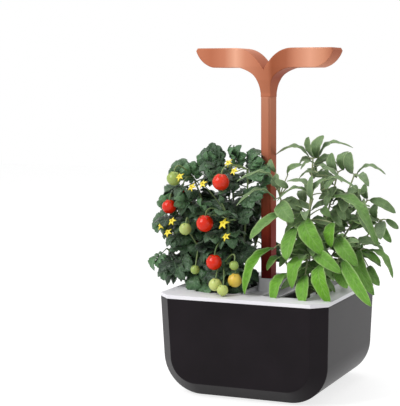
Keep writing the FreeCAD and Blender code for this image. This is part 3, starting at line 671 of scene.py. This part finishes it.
# each leaf's base and tip in millimetres, its width, and its tint from grey-green 0 to bright 1
sageLeaves = (
    (48, 9, 252, 47, -10, 275, 13, 0.75), (50, 10, 252, 55, 12, 277, 13, 0.6),
    (42, 10, 252, 8, 0, 262, 9, 0.25), (52, 10, 252, 83, 25, 270, 10, 0.45),
    (74, 4, 240, 71, -4, 258, 11, 0.35), (82, 6, 240, 80, 20, 262, 11, 0.8),
    (91, 4, 237, 93, -6, 260, 15, 0.4), (96, 9, 236, 125, 15, 242, 9, 0.3),
    (97, 4, 233, 115, -12, 230, 9, 0.1), (22, -34, 222, -9, -62, 239, 6, 0.4),
    (19, -32, 209, -11, -64, 214, 6, 0.3), (14, -20, 238, 5, -16, 252, 6, 0.3),
    (29, -36, 197, 3, -66, 172, 12, 0.5), (24, -34, 206, 44, -50, 190, 16, 0.55),
    (53, -34, 190, 77, -56, 160, 18, 0.8), (43, -36, 182, 42, -62, 151, 16, 0.75),
    (84, -32, 188, 85, -46, 165, 12, 0.95), (70, -10, 211, 131, -26, 178, 13, 0.55),
    (86, 0, 185, 127, -8, 170, 13, 0.5), (87, -28, 172, 113, -46, 147, 15, 0.7),
    (104, -6, 156, 124, -32, 117, 14, 0.65), (98, -42, 150, 140, -84, 113, 12, 0.8),
    (68, -38, 154, 100, -62, 142, 13, 0.75), (58, -40, 152, 47, -66, 126, 15, 0.85),
    (60, -52, 134, 66, -76, 108, 14, 0.85), (37, -44, 133, 30, -72, 108, 13, 0.9),
    (77, -48, 146, 90, -74, 112, 15, 0.95), (88, -30, 142, 106, -54, 124, 13, 0.7),
    (108, 8, 154, 142, 0, 134, 8, 0.4), (112, 2, 138, 126, -10, 122, 11, 0.5),
    (104, 10, 160, 131, 12, 148, 6, 0.1), (122, 12, 186, 134, 10, 164, 8, 0.4),
    (111, 9, 209, 139, 10, 198, 9, 0.35), (127, 16, 188, 140, 20, 178, 6, 0.2),
    (108, 9, 210, 106, 5, 226, 8, 0.4), (119, 5, 190, 118, 5, 206, 9, 0.3),
    (98, -5, 208, 100, -7, 226, 12, 0.2), (18, -36, 158, -2, -76, 118, 12, 0.9),
    (60, 30, 150, 80, 62, 160, 14, 0.4), (40, 34, 170, 36, 66, 176, 14, 0.4),
    (80, 30, 190, 96, 56, 200, 13, 0.35), (30, 30, 200, 22, 56, 216, 12, 0.3),
    (70, 34, 130, 96, 70, 118, 14, 0.45), (50, 36, 210, 56, 58, 232, 13, 0.4),
    (23, -30, 222, 21, -38, 236, 11, 0.15), (34, -34, 223, 22, -42, 231, 7, 0.15),
    (57, -25, 215, 36, -33, 234, 10, 0.12), (60, -30, 214, 23, -38, 216, 6, 0.1),
    (61, -34, 211, 63, -42, 237, 8, 0.2), (61, -32, 211, 74, -40, 235, 7, 0.1),
    (65, -20, 220, 105, -28, 231, 6, 0.1), (58, -10, 235, 40, -18, 235, 6, 0.0),
    (58, -10, 237, 88, -18, 235, 6, 0.0), (52, 0, 247, 38, -8, 244, 8, 0.15),
    (54, 0, 244, 70, -8, 240, 6, 0.0), (26, -15, 235, 43, -23, 248, 7, 0.45),
    (66, -15, 201, 76, -23, 194, 8, 0.5), (44, -20, 201, 40, -28, 191, 8, 0.3),
    (75, -10, 215, 70, -18, 203, 8, 0.2), (92, -8, 215, 102, -16, 221, 8, 0.3),
    (80, -6, 206, 91, -14, 189, 8, 0.2), (53, -10, 187, 74, -18, 185, 8, 0.1),
    (34, -20, 211, 27, -28, 202, 7, 0.1),
)
sagePaths = [[sageLook["root"], at(*middle), at(*top)] for middle, top in sageTops]
stems = [stalk("sageStem", path, sageLook["stem"], sageLook["stemTaper"], 3) for path in sagePaths]
blades = []
for number, (bx, by, bz, tx, ty, tz, wide, tint) in enumerate(sageLeaves):
    base, tip = at(bx, by, bz), at(tx, ty, tz)
    stems += petiole("sagePetiole", sagePaths, base, base.lerp(tip, sageLook["sunk"]), sageLook)
    arching = number in sageLook["arching"]
    tint *= fade(tz, *sageLook["fading"])
    blades.append(hang(sageModels[2 if arching else number % 3], base, tip, wide * sageLook["broad"] * mm,
                       sageLook["skyward" if arching else "face"], grey(tint)))
for number in range(sageLook["filler"]):
    # younger leaves up the stems, where the plant is dense
    spot = alongStem(sagePaths[number % len(sagePaths)], random.uniform(*sageLook["fillerSpot"]))
    turn = random.uniform(0, 2 * math.pi)
    reach = random.uniform(*sageLook["fillerReach"]) * mm
    aim = Vector((math.cos(turn), math.sin(turn), random.uniform(*sageLook["fillerRise"]))).normalized()
    tip = spot + aim * reach
    if not inRoom(tip, sageLook["room"]):
        continue
    face = Vector((random.uniform(*sageLook["fillerLean"]), *sageLook["fillerFace"]))
    tint = random.uniform(*sageLook["fillerTint"]) * fade(tip.z / mm, *sageLook["fillerFading"])
    wide = random.uniform(*sageLook["fillerWide"]) * mm
    blades.append(hang(sageModels[number % 3], spot + aim * 3 * mm, tip, wide, face, grey(tint)))
    stems.append(stalk("sageStalklet", [spot, spot + aim * 2 * mm, spot + aim * 5 * mm], sageLook["stalklet"],
                       sageLook["stalkletTaper"], 1))
leafCount = len(blades)
sageLeafPiece = joined("sageLeaves", blades, sageSkin, "cover")
thicken(sageLeafPiece, sageLook["thick"])
sageStemPiece = joined("sageStems", stems, sageBark, "cover")
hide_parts("sage_plant")
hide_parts("sage_plant")
for model in sageModels:
    bpy.data.objects.remove(model)
print("sage done", leafCount, "leaves")

# tomato: each compound leaf has a toothed end leaflet and pairs of smaller ones on a thin midrib
tomatoLook = {
    "root": at(-40, 0, 96),
    "face": Vector((-0.3, -0.75, 0.6)),
    "stem": 1.5 * mm,
    "stemTaper": 0.6,
    "petiole": 0.8 * mm,
    "petioleTaper": 0.8,
    "touching": 0.8 * mm,
    "lift": 0.1,
    "thick": 0.4 * mm,
    "broad": 1.05,
    "tint": (0.15, 0.95),
    "roll": (-0.3, 0.3),
    "filler": 170,
    "fillerSpot": (0.2, 1.0),
    "fillerCrowding": 0.75,  # under 1 brings more of them towards the tops
    "fillerDepth": 0.8,
    "fillerForward": 0.15,
    "fillerRise": (-0.55, 0.45),
    "fillerReach": (27, 40),
    "fillerBroad": 1.15,
    "fillerLean": (-0.2, 0.2),
    "fillerTip": (0.0, -0.5),
    "fillerSky": 0.9,
    # painted shade: the leaves behind take only the darker tints
    "fillerTint": (0.0, 0.6),
    "room": ((-130, -80, 106), (-12, 80, 258)),
}
leafletLook = {
    "outline": (0.08, 0.52, 0.80, 0.78, 0.98, 0.88, 1.0, 0.84, 0.88, 0.66, 0.64, 0.38, 0.04),
    "fold": 0.18,
    "ruffle": 0.08,
    "endFrom": 0.52,
    "endWide": 0.46,
    "pairs": ((0.24, 0.28, 0.26), (0.40, 0.38, 0.34), (0.58, 0.40, 0.36)),  # place up the rib, reach and width
    "stagger": 0.02,
    "forward": 0.55,  # how far the side leaflets lean towards the tip
    "footDroop": 0.4,
    "pairDroop": 0.6,
    "gap": 0.1,  # the share of a side leaflet's reach that its blade leaves bare
    "rib": 0.012,
    "ribTaper": 0.6,
    "ribPoints": ((0, 0), (0.4, -0.1), (0.66, -0.4)),  # place up the leaf and share of its droop
    "ribTint": 0.3,
}


def compoundLeaf(name, arch, droop, columns=5):
    # one long from its foot to the end leaflet's tip
    leaflet = modelBlade(name + "Leaflet", leafletLook["outline"], arch, leafletLook["fold"], leafletLook["ruffle"],
                         columns)
    up = Vector((0, 0, 1))
    pieces = [hang(leaflet, Vector((0, leafletLook["endFrom"], 0)), Vector((0, 1, -droop)), leafletLook["endWide"], up,
                   grey(0))]
    for place, reach, wide in leafletLook["pairs"]:
        for side in (-1, 1):
            spot = Vector((0, place - leafletLook["stagger"] * side, -droop * place * leafletLook["footDroop"]))
            tip = spot + Vector((side * reach, reach * leafletLook["forward"], -droop * leafletLook["pairDroop"]))
            pieces.append(hang(leaflet, spot.lerp(tip, leafletLook["gap"]), tip, wide, up, grey(0)))
    rib = stalk(name + "Rib", [Vector((0, place, fall * droop)) for place, fall in leafletLook["ribPoints"]],
                leafletLook["rib"], leafletLook["ribTaper"], 1)
    rib.data.uv_layers.new(name="UVMap")
    paint(rib.data, grey(leafletLook["ribTint"]))
    whole = joinUp(name, pieces + [rib])
    bpy.data.objects.remove(leaflet)
    return whole


tomatoModels = [
    compoundLeaf("tomatoLeafFlat", arch=0.06, droop=0.05),
    compoundLeaf("tomatoLeafArched", arch=0.18, droop=0.18),
    compoundLeaf("tomatoLeafDrooping", arch=0.28, droop=0.34),
]
innerModels = [
    compoundLeaf("innerLeafArched", arch=0.14, droop=0.14, columns=3),
    compoundLeaf("innerLeafDrooping", arch=0.26, droop=0.30, columns=3),
]
tomatoTops = (
    ((-42, 0, 180), (-44, -4, 246)), ((-66, -4, 170), (-88, -8, 228)), ((-80, -8, 150), (-108, -20, 196)),
    ((-26, -4, 170), (-16, -24, 240)), ((-36, -24, 140), (-34, -38, 190)), ((-62, -20, 130), (-80, -34, 168)),
    ((-76, -14, 120), (-112, -28, 150)), ((-50, 20, 160), (-66, 34, 220)), ((-24, 20, 150), (-16, 40, 210)),
    ((-40, -26, 116), (-36, -46, 138)), ((-80, 20, 130), (-110, 34, 170)),
)
tomatoLeaves = (
    (-46, -6, 246, -78, -12, 258), (-42, -6, 244, -40, -22, 262),
    (-18, -24, 238, -8, -20, 260), (-20, -26, 236, 12, -30, 240),
    (-88, -10, 226, -112, -14, 246), (-92, -12, 220, -124, -20, 214),
    (-108, -22, 194, -134, -24, 172), (-106, -22, 190, -120, -30, 208),
    (-112, -30, 150, -124, -50, 136), (-108, -30, 146, -108, -48, 118),
    (-90, -32, 150, -84, -58, 124), (-70, -34, 140, -66, -62, 112),
    (-50, -42, 128, -46, -68, 110), (-34, -46, 130, -12, -58, 112),
    (-30, -36, 160, -6, -48, 146), (-26, -34, 186, -4, -42, 196),
    (-60, -30, 190, -66, -48, 206), (-76, -30, 200, -92, -44, 212),
    (-66, -34, 160, -58, -54, 164), (-86, -34, 170, -104, -50, 160),
    (-44, -34, 206, -40, -50, 220), (-60, -16, 226, -64, -30, 244),
    (-112, 30, 168, -132, 44, 158), (-66, 36, 220, -80, 56, 236),
    (-16, 40, 208, -10, 60, 222), (-40, 36, 190, -44, 68, 196),
    (-84, 36, 180, -104, 62, 190), (-60, 40, 150, -62, 76, 134),
    (-90, 34, 140, -112, 64, 122), (-26, 40, 150, -22, 72, 136),
    (-30, 20, 226, -20, 34, 246), (-82, 10, 226, -98, 24, 244),
    (-63, -6, 228, -77, -16, 257), (-56, -2, 235, -57, -12, 264),
    (-38, -6, 236, -34, -16, 265), (-25, -8, 232, -14, -18, 261),
    (-15, -10, 226, -1, -24, 251), (-15, -16, 217, 10, -28, 232),
    (-80, -10, 221, -97, -20, 242), (-30, -24, 211, 4, -34, 213),
    (-97, -10, 199, -117, -20, 203), (-110, -8, 178, -126, -18, 167),
    (-44, -14, 221, -59, -24, 239),
)
tomatoPaths = [[tomatoLook["root"], at(*middle), at(*top)] for middle, top in tomatoTops]
vines = [stalk("tomatoStem", path, tomatoLook["stem"], tomatoLook["stemTaper"], 3) for path in tomatoPaths]
foliage = []
inner = []
for number, (bx, by, bz, tx, ty, tz) in enumerate(tomatoLeaves):
    base, tip = at(bx, by, bz), at(tx, ty, tz)
    vines += petiole("tomatoPetiole", tomatoPaths, base, base, tomatoLook)
    tint = random.uniform(*tomatoLook["tint"])
    foliage.append(hang(tomatoModels[number % 3], base, tip, (tip - base).length * tomatoLook["broad"],
                        tomatoLook["face"], grey(tint), random.uniform(*tomatoLook["roll"])))
for number in range(tomatoLook["filler"]):
    # leaves behind the outer ones, all round each stem
    share = random.uniform(*tomatoLook["fillerSpot"]) ** tomatoLook["fillerCrowding"]
    spot = alongStem(tomatoPaths[number % len(tomatoPaths)], share)
    turn = random.uniform(0, 2 * math.pi)
    back = tomatoLook["fillerDepth"] * math.sin(turn) - tomatoLook["fillerForward"]
    aim = Vector((math.cos(turn), back, random.uniform(*tomatoLook["fillerRise"]))).normalized()
    reach = random.uniform(*tomatoLook["fillerReach"]) * mm
    tip = spot + aim * reach
    if not inRoom(tip, tomatoLook["room"]):
        continue
    lean, tipped = random.uniform(*tomatoLook["fillerLean"]), random.uniform(*tomatoLook["fillerTip"])
    face = Vector((lean, tipped, tomatoLook["fillerSky"]))
    # painted shade: the darker end of the tints for the leaves behind
    tint = random.uniform(*tomatoLook["fillerTint"])
    inner.append(hang(innerModels[number % 2], spot, tip, reach * tomatoLook["fillerBroad"], face, grey(tint)))


def islands(nodeName):
    # middles and half-heights of a CAD node's separate solids
    mesh = bmesh.new()
    mesh.from_mesh(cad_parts[nodeName].data)
    bmesh.ops.remove_doubles(mesh, verts=mesh.verts, dist=1e-6)
    left = set(mesh.verts)
    found = []
    while left:
        todo = [left.pop()]
        group = []
        while todo:
            vert = todo.pop()
            group.append(vert.co.copy())
            for edge in vert.link_edges:
                other = edge.other_vert(vert)
                if other in left:
                    left.remove(other)
                    todo.append(other)
        low = Vector(min(p[i] for p in group) for i in range(3))
        high = Vector(max(p[i] for p in group) for i in range(3))
        found.append(((low + high) / 2, (high.z - low.z) / 2))
    mesh.free()
    return sorted(found, key=lambda item: (round(item[0].x, 5), round(item[0].z, 5)))


fruitLook = {
    "around": 32,
    "upwards": 20,
    "rings": ((0.985, 2, -0.14), (0.93, 0.985, -0.03), (-2, -0.985, 0.02)),  # from and to height, then the shift
    "pinchFrom": 0.2,
    "pinch": 0.97,
    "lean": Vector((0.12, 0.05, 1)),
    "crown": Vector((0.6 * mm, 0, 0)),
    "calyx": 0.85,  # of the fruit's radius
    "calyxHigh": 0.93,
    "calyxTurn": 0.7,
    "stalkHigh": 0.9,
    "stalk": 0.75 * mm,
    "stalkTaper": 1.2,
}


def modelFruit(name):
    # a round fruit, one in radius, with a dimple under its stalk
    bpy.ops.mesh.primitive_uv_sphere_add(segments=fruitLook["around"], ring_count=fruitLook["upwards"], radius=1)
    fruit = bpy.context.object
    fruit.name = name
    bpy.ops.object.mode_set(mode="EDIT")
    for low, high, shift in fruitLook["rings"]:
        editSelect(fruit, lambda co: low < co.z <= high)
        bpy.ops.transform.translate(value=(0, 0, shift))
    editSelect(fruit, lambda co: co.z > fruitLook["pinchFrom"])
    bpy.ops.transform.resize(value=(fruitLook["pinch"], fruitLook["pinch"], 1), center_override=(0, 0, 0))
    bpy.ops.object.mode_set(mode="OBJECT")
    smooth(fruit)
    fruit.select_set(False)
    return fruit


def modelStar(name, points, inner, rise, thick):
    # pointed sepals or petals round a small middle; inner is the notches' radius, and a rise below 0 bends tips back
    bpy.ops.mesh.primitive_circle_add(vertices=points * 2, radius=1, fill_type="TRIFAN")
    star = bpy.context.object
    star.name = name
    for vert in star.data.vertices:
        if vert.co.length > 0.5:  # the middle stays
            step = round(math.atan2(vert.co.x, vert.co.y) / (math.pi / points)) % 2
            vert.co *= 1.0 if step == 0 else inner
    bpy.ops.object.mode_set(mode="EDIT")
    bpy.ops.mesh.select_all(action="SELECT")
    bpy.ops.mesh.subdivide(number_cuts=2)
    bpy.ops.object.mode_set(mode="OBJECT")
    for vert in star.data.vertices:
        vert.co.z += rise * vert.co.xy.length ** 2
    thicken(star, thick, offset=-1)
    smooth(star)
    star.select_set(False)
    return star


def placed(source, place, size, axis, colour, spin=0.0):
    # a copy of a model that is one in radius, its top turned to axis
    turn = Vector((0, 0, 1)).rotation_difference(axis.normalized()).to_matrix().to_4x4()
    mesh = source.data.copy()
    mesh.transform(Matrix.Translation(place) @ turn @ Matrix.Rotation(spin, 4, "Z") @ Matrix.Scale(size, 4))
    paint(mesh, colour)
    piece = bpy.data.objects.new(source.name + "Copy", mesh)
    scene.collection.objects.link(piece)
    return piece


fruitModel = modelFruit("fruitModel")
calyxModel = modelStar("calyxModel", points=5, inner=0.24, rise=-0.35, thick=0.09)
petalModel = modelStar("petalModel", points=5, inner=0.42, rise=-0.25, thick=0.12)
calyxes = []


def fruits(name, nodeName, colours):
    # a fruit, its calyx and its stalk for each solid of the node
    pieces = []
    for number, (middle, radius) in enumerate(islands(nodeName)):
        pieces.append(placed(fruitModel, middle, radius, fruitLook["lean"], colours[number % len(colours)], number))
        foot = middle + fruitLook["crown"]
        calyxes.append(placed(calyxModel, foot + Vector((0, 0, radius * fruitLook["calyxHigh"])),
                              radius * fruitLook["calyx"], fruitLook["lean"], white,
                              number * fruitLook["calyxTurn"]))
        top = foot + Vector((0, 0, radius * fruitLook["stalkHigh"]))
        root = nearestOn(tomatoPaths, top + at(0, 10, 10))
        bow = top + at(0, 3, 8)
        vines.append(stalk("truss", [top, bow, bow.lerp(root, 0.5) + at(0, 0, 4), root], fruitLook["stalk"],
                           fruitLook["stalkTaper"], 2))
    whole = joined(name, pieces, fruitSkin, "cover")
    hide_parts(nodeName)


ripeRed = tone(228, 40, 8)
fruits("ripeFruit", "ripe_tomatoes", [ripeRed, tone(222, 66, 26), ripeRed, tone(232, 52, 24), ripeRed])
fruits("unripeFruit", "unripe_tomatoes",
       [tone(160, 182, 96), tone(186, 204, 120), tone(158, 182, 92), tone(206, 218, 130), tone(196, 212, 122),
        tone(232, 198, 84), tone(160, 186, 96)])

flowerLook = {
    "face": Vector((-0.3, -0.8, 0.6)),
    "wide": 5.8 * mm,
    "nearWide": 7.6 * mm,  # the open flower nearest to the front
    "nearFront": -65.5 * mm,
    "nearHigh": 180 * mm,
    "turn": 0.5,
    "heart": 1.1 * mm,
    "heartOut": 1.4 * mm,
    "stalkFrom": 0.4 * mm,
    "stalkBend": 4 * mm,
    "stalk": 0.45 * mm,
    "stalkTaper": 1.3,
}
blooms = []
for number, middle in enumerate(found[0] for found in islands("tomato_flowers")):
    axis = flowerLook["face"]
    nearest = middle.y < flowerLook["nearFront"] and middle.z > flowerLook["nearHigh"]
    wide = flowerLook["nearWide" if nearest else "wide"]
    blooms.append(placed(petalModel, middle, wide, axis, white, number * flowerLook["turn"]))
    blooms.append(placed(fruitModel, middle + axis * flowerLook["heartOut"], flowerLook["heart"], axis, white))
    root = nearestOn(tomatoPaths, middle + at(0, 10, 0))
    behind = middle - axis * flowerLook["stalkBend"]
    points = [middle - axis * flowerLook["stalkFrom"], behind, behind.lerp(root, 0.6) + at(0, 0, 3), root]
    vines.append(stalk("flowerStalk", points, flowerLook["stalk"], flowerLook["stalkTaper"], 1))
bloomPiece = joined("tomatoFlowers", blooms, petalYellow, "cover")
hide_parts("tomato_flowers")
for name, leaves in (("tomatoLeaves", foliage), ("tomatoInnerLeaves", inner)):
    count = len(leaves)
    leafPiece = joined(name, leaves, tomatoSkin, "cover")
    thicken(leafPiece, tomatoLook["thick"])
    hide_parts("tomato_plant")
    print(name, count, "compound leaves", len(leafPiece.data.polygons), "faces")
tomatoStemPiece = joined("tomatoStems", vines, tomatoStalk, "cover")
joined("tomatoCalyxes", calyxes, sepalGreen, "cover")
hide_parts("tomato_plant")
for model in tomatoModels + innerModels + [fruitModel, calyxModel, petalModel]:
    bpy.data.objects.remove(model)
print("tomato done")

# floor, world, lamps and camera
stageLook = {
    "floor": 6.0,
    "pale": 0.86,
    "floorRough": 0.8,
    "floorGlow": 1.5,
    "floorGlowShare": 0.5,
    "sky": 0.48,
    "lamps": (  # name, place, what it aims at, size and watts
        ("keyLamp", (-0.9, -1.1, 1.3), (0, 0, 0.15), 0.8, 19.0),
        ("fillLamp", (1.4, -0.8, 0.8), (0, 0, 0.15), 1.0, 2.5),
        ("topLamp", (0.1, 0.3, 1.6), (0, 0, 0.1), 0.9, 6.0),
    ),
}


def seenDirectly(nodes, links):
    # 1 for a ray from the camera, off a glossy surface or through a clear one
    path = nodes.new("ShaderNodeLightPath")
    seen = maths(nodes, links, "MAXIMUM", path.outputs["Is Camera Ray"], path.outputs["Is Glossy Ray"])
    return maths(nodes, links, "MAXIMUM", seen, path.outputs["Is Transmission Ray"])


def mixShaders(nodes, links, share, first, second, outputName):
    mix = nodes.new("ShaderNodeMixShader")
    links.new(share, mix.inputs["Fac"])
    links.new(first, mix.inputs[1])
    links.new(second, mix.inputs[2])
    links.new(mix.outputs["Shader"], nodes[outputName].inputs["Surface"])


bpy.ops.mesh.primitive_plane_add(size=stageLook["floor"], location=(0, 0, 0))
floor = bpy.context.object
floor.name = "floor"
mat, nodes, links, shader = newMaterial("paleFloor")
shader.inputs["Base Color"].default_value = (stageLook["pale"],) * 3 + (1,)
shader.inputs["Roughness"].default_value = stageLook["floorRough"]
glow = nodes.new("ShaderNodeEmission")
glow.inputs["Strength"].default_value = stageLook["floorGlow"]
glowing = maths(nodes, links, "MULTIPLY", seenDirectly(nodes, links), stageLook["floorGlowShare"])
mixShaders(nodes, links, glowing, shader.outputs["BSDF"], glow.outputs["Emission"], "Material Output")
floor.data.materials.append(mat)

world = bpy.data.worlds.new("paleRoom")
scene.world = world
world.use_nodes = True
nodes, links = world.node_tree.nodes, world.node_tree.links
ambient = nodes["Background"]
ambient.inputs["Color"].default_value = white
ambient.inputs["Strength"].default_value = stageLook["sky"]
backdrop = nodes.new("ShaderNodeBackground")
backdrop.inputs["Color"].default_value = white
mixShaders(nodes, links, seenDirectly(nodes, links), ambient.outputs["Background"], backdrop.outputs["Background"],
           "World Output")


def softLamp(name, place, aim, size, watts):
    light = bpy.data.lights.new(name, "AREA")
    light.size = size
    light.energy = watts
    lamp = bpy.data.objects.new(name, light)
    lamp.location = place
    lamp.rotation_euler = (Vector(aim) - Vector(place)).to_track_quat("-Z", "Y").to_euler()
    scene.collection.objects.link(lamp)


for lampLook in stageLook["lamps"]:
    softLamp(*lampLook)

# the view that shows the planter as the photo does; its middle and focal length are in the photo's pixels
cameraLook = {
    "place": (0.4995, -1.2668, 0.3375),
    "tilt": 6.72,
    "swing": 21.66,
    "sensor": 36,
    "photoWide": 400,
    "photoHigh": 406,
    "focal": 1250,
    "middleX": 267,
    "middleY": 226,
}
view = bpy.data.cameras.new("photoView")
view.lens = cameraLook["focal"] / cameraLook["photoHigh"] * cameraLook["sensor"]
view.sensor_width = cameraLook["sensor"]
view.shift_x = (cameraLook["photoWide"] / 2 - cameraLook["middleX"]) / cameraLook["photoHigh"]
view.shift_y = (cameraLook["middleY"] - cameraLook["photoHigh"] / 2) / cameraLook["photoHigh"]
camera = bpy.data.objects.new("photoView", view)
camera.location = cameraLook["place"]
camera.rotation_euler = (math.radians(90 - cameraLook["tilt"]), 0, math.radians(cameraLook["swing"]))
scene.collection.objects.link(camera)
scene.camera = camera
print("stage done")
